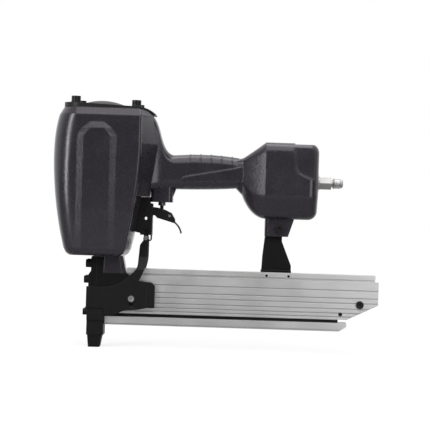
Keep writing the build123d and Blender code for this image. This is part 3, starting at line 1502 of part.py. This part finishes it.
os.makedirs("parts", exist_ok=True)
nodes = {
    "housing": housing,
    "cylinder_sleeve": cylinder_sleeve,
    "bumper": bumper,
    "piston": piston,
    "piston_ring": piston_ring,
    "driver_blade": driver_blade,
    "driver_pin": driver_pin,
    "head_valve": head_valve,
    "head_valve_seal": head_valve_seal,
    "cap_gasket": cap_gasket,
    "top_cap": top_cap,
    "cap_washers": cap_washers,
    "cap_screws": cap_screws,
    "end_cap": end_cap,
    "end_cap_seal": end_cap_seal,
    "end_cap_ring": end_cap_ring,
    "air_plug": air_plug,
    "valve_bushing": valve_bushing,
    "valve_stem": valve_stem,
    "safety_guide": safety_guide,
    "guide_screws": guide_screws,
    "trigger": trigger,
    "trigger_pin": trigger_pin,
    "lever_pin": lever_pin,
    "trigger_lever": trigger_lever,
    "safety_slider": safety_slider,
    "nose_front_plate": nose_front_plate,
    "nose_rear_block": nose_rear_block,
    "nose_upper_screws": nose_upper_screws,
    "nose_middle_screws": nose_middle_screws,
    "contact_shoe": contact_shoe,
    "shoe_screws": shoe_screws,
    "safety_yoke": safety_yoke,
    "arm_rivet": arm_rivet,
    "shoulder_screws": shoulder_screws,
    "magazine_channel": magazine_channel,
    "stop_screws": stop_screws,
    "catch_pins": catch_pins,
    "magazine_top_rail": magazine_top_rail,
    "rear_bracket": rear_bracket,
    "bracket_pins": bracket_pins,
    "bracket_bolt": bracket_bolt,
    "bracket_nut": bracket_nut,
    "magazine_rail": magazine_rail,
    "staple_core": staple_core,
    "pusher_spring": pusher_spring,
    "spring_pin": spring_pin,
    "pusher": pusher,
}
for name, built in nodes.items():
    built.part.label = name
    export_step(built.part, f"parts/{name}.step")
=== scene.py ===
import json
import math

import bpy
from mathutils import Matrix, Vector

# Pneumatic stapler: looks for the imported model, in metres.
# X runs to the rear, Y away from the camera, Z up.

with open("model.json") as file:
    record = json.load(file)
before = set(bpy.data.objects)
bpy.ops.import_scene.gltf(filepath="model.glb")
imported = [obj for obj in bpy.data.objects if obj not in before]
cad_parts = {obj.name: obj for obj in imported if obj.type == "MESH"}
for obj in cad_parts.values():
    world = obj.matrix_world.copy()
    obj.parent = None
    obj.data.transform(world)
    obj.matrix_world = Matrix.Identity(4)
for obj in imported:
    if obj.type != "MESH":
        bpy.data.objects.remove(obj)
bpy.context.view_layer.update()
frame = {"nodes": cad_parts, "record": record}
nodes = frame["nodes"]

# Camera, as the photograph has it
picture_pixels = 430
metres_per_pixel = 0.0011
aim = Vector((0.1282, 0.0, 0.1482))
camera_distance = 1.4
camera_roll = math.radians(1.8)
sensor_width = 36.0

# Studio: the floor's own colour, and how white the camera and the metal see it
white = (1, 1, 1, 1)
floor_size = 12.0
floor_tone = (0.35, 0.35, 0.35, 1)
floor_lift = 0.80
floor_near = 0.35
floor_far = 1.3
mirror_near = 0.0
mirror_far = 0.4
sky_front = -0.5
sky_behind = 0.2
front_tone = 0.06
ambient_tone = 0.12

# Soft boxes, all turned to the aim, with their power in watts
soft_boxes = {
    "left_box": {"place": (-0.85, -0.95, 0.42), "width": 0.28, "height": 1.0, "power": 8},
    "front_top_box": {"place": (0.10, -0.75, 1.05), "width": 1.2, "height": 1.0, "power": 7},
    "top_box": {"place": (0.15, 0.05, 1.30), "width": 1.1, "height": 0.6, "power": 6},
    "right_box": {"place": (0.72, -1.15, 0.45), "width": 0.5, "height": 0.9, "power": 3.5},
}

# The span that soft noise mostly keeps to
noise_low = 0.3
noise_high = 0.7

# A mix node's two inputs and its result go by number, because they share their names
mix_sockets = {"FLOAT": (2, 3, 0), "RGBA": (6, 7, 2)}


def new_node(tree, kind, inputs=None, **settings):
    """A node with its settings, its input values and its input links."""
    made = tree.nodes.new(kind)
    for name, value in settings.items():
        setattr(made, name, value)
    for name, value in (inputs or {}).items():
        if isinstance(value, bpy.types.NodeSocket):
            tree.links.new(value, made.inputs[name])
        else:
            made.inputs[name].default_value = value
    return made


def new_material(name, **sockets):
    """A material with one main shader, whose constant sockets are set by keyword."""
    material = bpy.data.materials.new(name)
    material.use_nodes = True
    shader = material.node_tree.nodes["Principled BSDF"]
    for socket, value in sockets.items():
        shader.inputs[socket.replace("_", " ")].default_value = value
    return material, material.node_tree, shader


def object_point(tree, stretch=(1, 1, 1)):
    """The point on the piece, in metres, stretched for grain that runs one way."""
    point = new_node(tree, "ShaderNodeTexCoord").outputs["Object"]
    return new_node(tree, "ShaderNodeMapping", {"Vector": point, "Scale": stretch}).outputs["Vector"]


def noise(tree, point, scale, detail=3.0, rough=0.55):
    """Soft noise between 0 and 1."""
    made = new_node(tree, "ShaderNodeTexNoise",
                    {"Vector": point, "Scale": scale, "Detail": detail, "Roughness": rough})
    return made.outputs["Fac"]


def remap(tree, value, low, high, to_low, to_high):
    """A value moved from one span to another, held at the ends."""
    made = new_node(tree, "ShaderNodeMapRange", {
        "Value": value, "From Min": low, "From Max": high, "To Min": to_low, "To Max": to_high})
    return made.outputs["Result"]


def maths(tree, operation, first, second):
    """One value worked out from two."""
    return new_node(tree, "ShaderNodeMath", {0: first, 1: second}, operation=operation).outputs["Value"]


def mix(tree, factor, first, second, kind="RGBA"):
    """Two colours, or two values, mixed by a factor."""
    first_in, second_in, result = mix_sockets[kind]
    made = new_node(tree, "ShaderNodeMix", {0: factor, first_in: first, second_in: second}, data_type=kind)
    return made.outputs[result]


def edge_mask(tree, radius, sharpness):
    """1 along the piece's edges and 0 on its faces."""
    rounded = new_node(tree, "ShaderNodeBevel", {"Radius": radius}, samples=4).outputs["Normal"]
    flat = new_node(tree, "ShaderNodeNewGeometry").outputs["Normal"]
    dot = new_node(tree, "ShaderNodeVectorMath", {0: rounded, 1: flat}, operation="DOT_PRODUCT")
    return remap(tree, dot.outputs["Value"], 1.0, 1.0 - sharpness, 0.0, 1.0)


def groove_mask(tree, reach):
    """1 down in narrow grooves and 0 on open faces: the mask for painted shade in the grooves."""
    open_face = 0.9
    deep_groove = 0.55
    openness = new_node(tree, "ShaderNodeAmbientOcclusion", {"Distance": reach}, samples=8, only_local=True)
    return remap(tree, openness.outputs["AO"], open_face, deep_groove, 0.0, 1.0)


def bump(tree, height, strength, distance, normal=None):
    """A bumped normal, on top of another one where it is given."""
    made = new_node(tree, "ShaderNodeBump", {"Height": height, "Strength": strength, "Distance": distance})
    if normal is not None:
        tree.links.new(normal, made.inputs["Normal"])
    return made.outputs["Normal"]


def soft_edges(tree, radius):
    """The normal of edges that are rounded by this radius."""
    return new_node(tree, "ShaderNodeBevel", {"Radius": radius}, samples=6).outputs["Normal"]


def dress(tree, shader, tone, pattern, rough_low, rough_high, normal):
    """Gives the shader its colour, a roughness that follows a pattern, and its normal."""
    roughness = remap(tree, pattern, noise_low, noise_high, rough_low, rough_high)
    tree.links.new(tone, shader.inputs["Base Color"])
    tree.links.new(roughness, shader.inputs["Roughness"])
    tree.links.new(normal, shader.inputs["Normal"])


def hammered_paint(name):
    """Dark grey hammered enamel: small uneven dimples under a clear gloss."""
    dark = (0.0215, 0.0185, 0.025, 1)
    light = (0.0305, 0.0263, 0.0352, 1)
    fleck = (0.0385, 0.033, 0.0448, 1)
    dimples_per_metre = 520.0
    warp_per_metre = 260.0
    warp_reach = 0.0016
    material, tree, shader = new_material(name, Metallic=0.25, Coat_Weight=0.35, Coat_Roughness=0.18)
    point = object_point(tree)
    warp = new_node(tree, "ShaderNodeTexNoise", {"Vector": point, "Scale": warp_per_metre, "Detail": 2.0})
    shift = new_node(tree, "ShaderNodeVectorMath", {0: warp.outputs["Color"], "Scale": warp_reach},
                     operation="SCALE")
    moved = new_node(tree, "ShaderNodeVectorMath", {0: point, 1: shift.outputs["Vector"]}, operation="ADD")
    cells = new_node(tree, "ShaderNodeTexVoronoi",
                     {"Vector": moved.outputs["Vector"], "Scale": dimples_per_metre, "Smoothness": 0.7},
                     feature="SMOOTH_F1").outputs["Distance"]
    broad = noise(tree, point, 45.0)
    flecks = remap(tree, cells, 0.15, 0.75, 0.0, 1.0)
    tone = mix(tree, flecks, mix(tree, broad, dark, light), fleck)
    dimples = bump(tree, cells, 0.14, 0.0006, soft_edges(tree, 0.002))
    grain = bump(tree, noise(tree, point, 2400.0), 0.12, 0.0002, dimples)
    dress(tree, shader, tone, broad, 0.20, 0.30, grain)
    return material


def black_gloss(name):
    """Black moulded cover with a faint grain."""
    dark = (0.008, 0.008, 0.009, 1)
    light = (0.014, 0.014, 0.015, 1)
    material, tree, shader = new_material(name, Specular_IOR_Level=0.3)
    point = object_point(tree)
    broad = noise(tree, point, 60.0)
    grain = bump(tree, noise(tree, point, 3000.0), 0.10, 0.0002, soft_edges(tree, 0.0006))
    dress(tree, shader, mix(tree, broad, dark, light), broad, 0.36, 0.46, grain)
    return material


def black_steel(name, shine, worn, gleam=0.35):
    """Blackened steel: satin, with a fine pickled grain and edges painted a little brighter, partly as
    rubbed wear and partly as a painted highlight.
    """
    dark = (0.007, 0.007, 0.0075, 1)
    light = (0.013, 0.013, 0.014, 1)
    # Lighter grey for the edges: part rubbed wear, part painted highlight
    rubbed = (0.11, 0.11, 0.115, 1)
    least_worn = 0.3 * worn
    material, tree, shader = new_material(name, Metallic=0.35, Specular_IOR_Level=gleam)
    point = object_point(tree)
    grain = noise(tree, point, 1500.0, 4.0)
    broad = noise(tree, point, 90.0)
    wear = remap(tree, broad, 0.3, 0.65, least_worn, worn)
    # Brighter edges, partly rubbed wear and partly a painted highlight so the edges catch light
    rub = maths(tree, "MULTIPLY", edge_mask(tree, 0.0007, 0.18), wear)
    tone = mix(tree, rub, mix(tree, broad, dark, light), rubbed)
    pickled = bump(tree, grain, 0.16, 0.0002, soft_edges(tree, 0.0008))
    dress(tree, shader, tone, grain, shine, shine + 0.14, pickled)
    return material


def drawn_aluminium(name, dark, light, stretch):
    """Bare extruded aluminium with fine draw lines along its length, and painted shade darkening its
    grooves.
    """
    # The grey that the grooves are painted towards, as painted shade
    groove = (0.42, 0.42, 0.42, 1)
    groove_reach = 0.0016
    material, tree, shader = new_material(name, Metallic=1.0)
    lines = noise(tree, object_point(tree, stretch), 1.0, 4.0, 0.65)
    broad = noise(tree, object_point(tree), 30.0)
    # Painted shade: deep grooves, found by ambient occlusion, are darkened towards the grey
    tone = mix(tree, groove_mask(tree, groove_reach), mix(tree, lines, dark, light), groove)
    drawn = bump(tree, lines, 0.18, 0.0002, soft_edges(tree, 0.0003))
    dress(tree, shader, tone, broad, 0.34, 0.46, drawn)
    return material


def turned_metal(name, dark, light, roughness):
    """Turned or drawn bright metal with a faint uneven polish."""
    material, tree, shader = new_material(name, Metallic=1.0)
    point = object_point(tree)
    broad = noise(tree, point, 240.0)
    fine = bump(tree, noise(tree, point, 2600.0), 0.06, 0.0001, soft_edges(tree, 0.0003))
    dress(tree, shader, mix(tree, broad, dark, light), broad, roughness, roughness + 0.1, fine)
    return material


def rubber(name):
    """Matt black rubber."""
    dark = (0.010, 0.010, 0.010, 1)
    light = (0.020, 0.020, 0.020, 1)
    material, tree, shader = new_material(name)
    point = object_point(tree)
    broad = noise(tree, point, 200.0)
    grain = bump(tree, noise(tree, point, 1800.0), 0.15, 0.0002)
    dress(tree, shader, mix(tree, broad, dark, light), broad, 0.6, 0.75, grain)
    return material


# One finish for each material slot of the record
along_x = (9.0, 1400.0, 1400.0)
finishes = {
    "housing_paint": hammered_paint("hammered_paint"),
    "cap_black": black_gloss("black_cover"),
    "black_steel": black_steel("blackened_steel", 0.36, 0.5),
    "black_screws": black_steel("black_screw_steel", 0.28, 0.7),
    "extruded_aluminium": drawn_aluminium(
        "extruded_aluminium", (0.74, 0.735, 0.735, 1), (0.87, 0.865, 0.865, 1), along_x),
    "cast_aluminium": turned_metal("cast_aluminium", (0.36, 0.36, 0.37, 1), (0.46, 0.46, 0.47, 1), 0.45),
    "bright_steel": turned_metal("bright_steel", (0.50, 0.50, 0.51, 1), (0.62, 0.62, 0.63, 1), 0.22),
    "nickel_plug": turned_metal("nickel_plate", (0.42, 0.415, 0.41, 1), (0.50, 0.495, 0.49, 1), 0.36),
    "valve_steel": turned_metal("valve_steel", (0.12, 0.12, 0.125, 1), (0.18, 0.18, 0.185, 1), 0.3),
    "seal_rubber": rubber("seal_rubber"),
}

# Pieces whose black is duller than the rest of their slot
dull_black = black_steel("dull_black_steel", 0.42, 0.4, 0.15)
dull_nodes = ("nose_front_plate", "nose_rear_block", "rear_bracket")

for subpart in frame["record"]["subparts"]:
    piece = nodes[subpart["node"]]
    finish = dull_black if subpart["node"] in dull_nodes else finishes[subpart["material_slot"]]
    piece.data.materials.clear()
    piece.data.materials.append(finish)


def make_floor():
    """A pale floor that keeps the shadow and reads as white in the picture."""
    bpy.ops.mesh.primitive_plane_add(size=floor_size, location=(aim.x, 0, 0))
    floor = bpy.context.object
    floor.name = "floor"
    material, tree, shader = new_material("floor_white", Base_Color=floor_tone, Roughness=0.9,
                                          Specular_IOR_Level=0.0, Emission_Color=white)
    path = new_node(tree, "ShaderNodeLightPath")
    point = new_node(tree, "ShaderNodeTexCoord").outputs["Object"]
    parts = new_node(tree, "ShaderNodeSeparateXYZ", {"Vector": point})
    behind = remap(tree, parts.outputs["Y"], mirror_near, mirror_far, front_tone, 1.0)
    mirrored = maths(tree, "MULTIPLY", path.outputs["Is Glossy Ray"], behind)
    seen = maths(tree, "MAXIMUM", path.outputs["Is Camera Ray"], mirrored)
    away = new_node(tree, "ShaderNodeVectorMath", {0: point}, operation="LENGTH").outputs["Value"]
    lift = remap(tree, away, floor_near, floor_far, floor_lift, 1.0)
    tree.links.new(maths(tree, "MULTIPLY", seen, lift), shader.inputs["Emission Strength"])
    floor.data.materials.append(material)


def make_world():
    """White behind the tool, darker on the camera's side, with an even soft fill."""
    world = bpy.data.worlds.new("studio")
    bpy.context.scene.world = world
    world.use_nodes = True
    tree = world.node_tree
    tree.nodes.clear()
    path = new_node(tree, "ShaderNodeLightPath")
    direction = new_node(tree, "ShaderNodeTexCoord").outputs["Generated"]
    parts = new_node(tree, "ShaderNodeSeparateXYZ", {"Vector": direction})
    behind = remap(tree, parts.outputs["Y"], sky_front, sky_behind, front_tone, 1.0)
    lit = mix(tree, path.outputs["Is Glossy Ray"], ambient_tone, behind, "FLOAT")
    seen = maths(tree, "MAXIMUM", path.outputs["Is Camera Ray"], path.outputs["Is Transmission Ray"])
    strength = mix(tree, seen, lit, 1.0, "FLOAT")
    background = new_node(tree, "ShaderNodeBackground", {"Color": white, "Strength": strength})
    new_node(tree, "ShaderNodeOutputWorld", {"Surface": background.outputs["Background"]})


def soft_light(name, place, width, height, power):
    """A soft box at a place, turned to the aim."""
    data = bpy.data.lights.new(name, "AREA")
    data.shape = "RECTANGLE"
    data.size = width
    data.size_y = height
    data.energy = power
    light = bpy.data.objects.new(name, data)
    bpy.context.scene.collection.objects.link(light)
    light.location = place
    light.rotation_euler = (aim - Vector(place)).to_track_quat("-Z", "Y").to_euler()


def make_camera():
    """The photograph's view: square on to the left side, rolled a little."""
    data = bpy.data.cameras.new("camera")
    data.sensor_width = sensor_width
    data.lens = sensor_width * camera_distance / (picture_pixels * metres_per_pixel)
    camera = bpy.data.objects.new("camera", data)
    bpy.context.scene.collection.objects.link(camera)
    upright = Matrix.Rotation(math.radians(90), 4, "X") @ Matrix.Rotation(camera_roll, 4, "Z")
    camera.matrix_world = Matrix.Translation(aim - Vector((0, camera_distance, 0))) @ upright
    bpy.context.scene.camera = camera


make_floor()
make_world()
for box_name, box in soft_boxes.items():
    soft_light(box_name, **box)
make_camera()
bpy.context.scene.view_settings.view_transform = "Standard"
